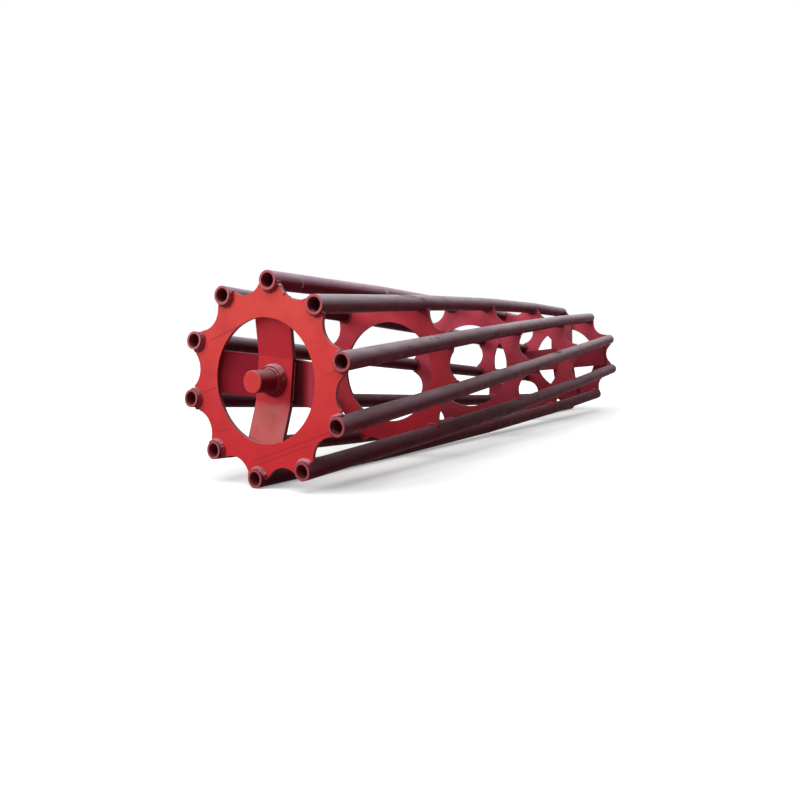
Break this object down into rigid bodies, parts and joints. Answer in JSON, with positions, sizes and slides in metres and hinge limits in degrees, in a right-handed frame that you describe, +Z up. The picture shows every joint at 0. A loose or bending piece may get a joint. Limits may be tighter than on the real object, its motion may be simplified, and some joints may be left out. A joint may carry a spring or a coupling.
{
  "type": "packer roller",
  "caption": "Open cage packer roller of twisted pipes seated on scalloped ring plates, with a dished cross and stub shaft at each end.",
  "frame": {"origin": "middle of the roller's axis", "axes": "+Y along the roller's axis towards the far stub shaft; +Z up as the roller rests on the ground; +X across, on the side that the picture is taken from"},
  "size_m": [0.5482, 2.52, 0.5456],
  "materials": {
    "plate_red": "satin",
    "pipe_maroon": "satin",
    "shaft_red": "satin"
  },
  "bodies": {
    "root": {"pipe_01": "pipe_maroon", "pipe_02": "pipe_maroon", "pipe_03": "pipe_maroon", "pipe_04": "pipe_maroon", "pipe_05": "pipe_maroon", "pipe_06": "pipe_maroon", "pipe_07": "pipe_maroon", "pipe_08": "pipe_maroon", "pipe_09": "pipe_maroon", "pipe_10": "pipe_maroon", "ring_plate_1": "plate_red", "ring_plate_2": "plate_red", "ring_plate_3": "plate_red", "ring_plate_4": "plate_red", "ring_plate_5": "plate_red", "near_outer_bar": "plate_red", "near_inner_bar": "plate_red", "near_stub_shaft": "shaft_red", "near_collar": "shaft_red", "far_outer_bar": "plate_red", "far_inner_bar": "plate_red", "far_stub_shaft": "shaft_red", "far_collar": "shaft_red"}
  },
  "joints": []
}
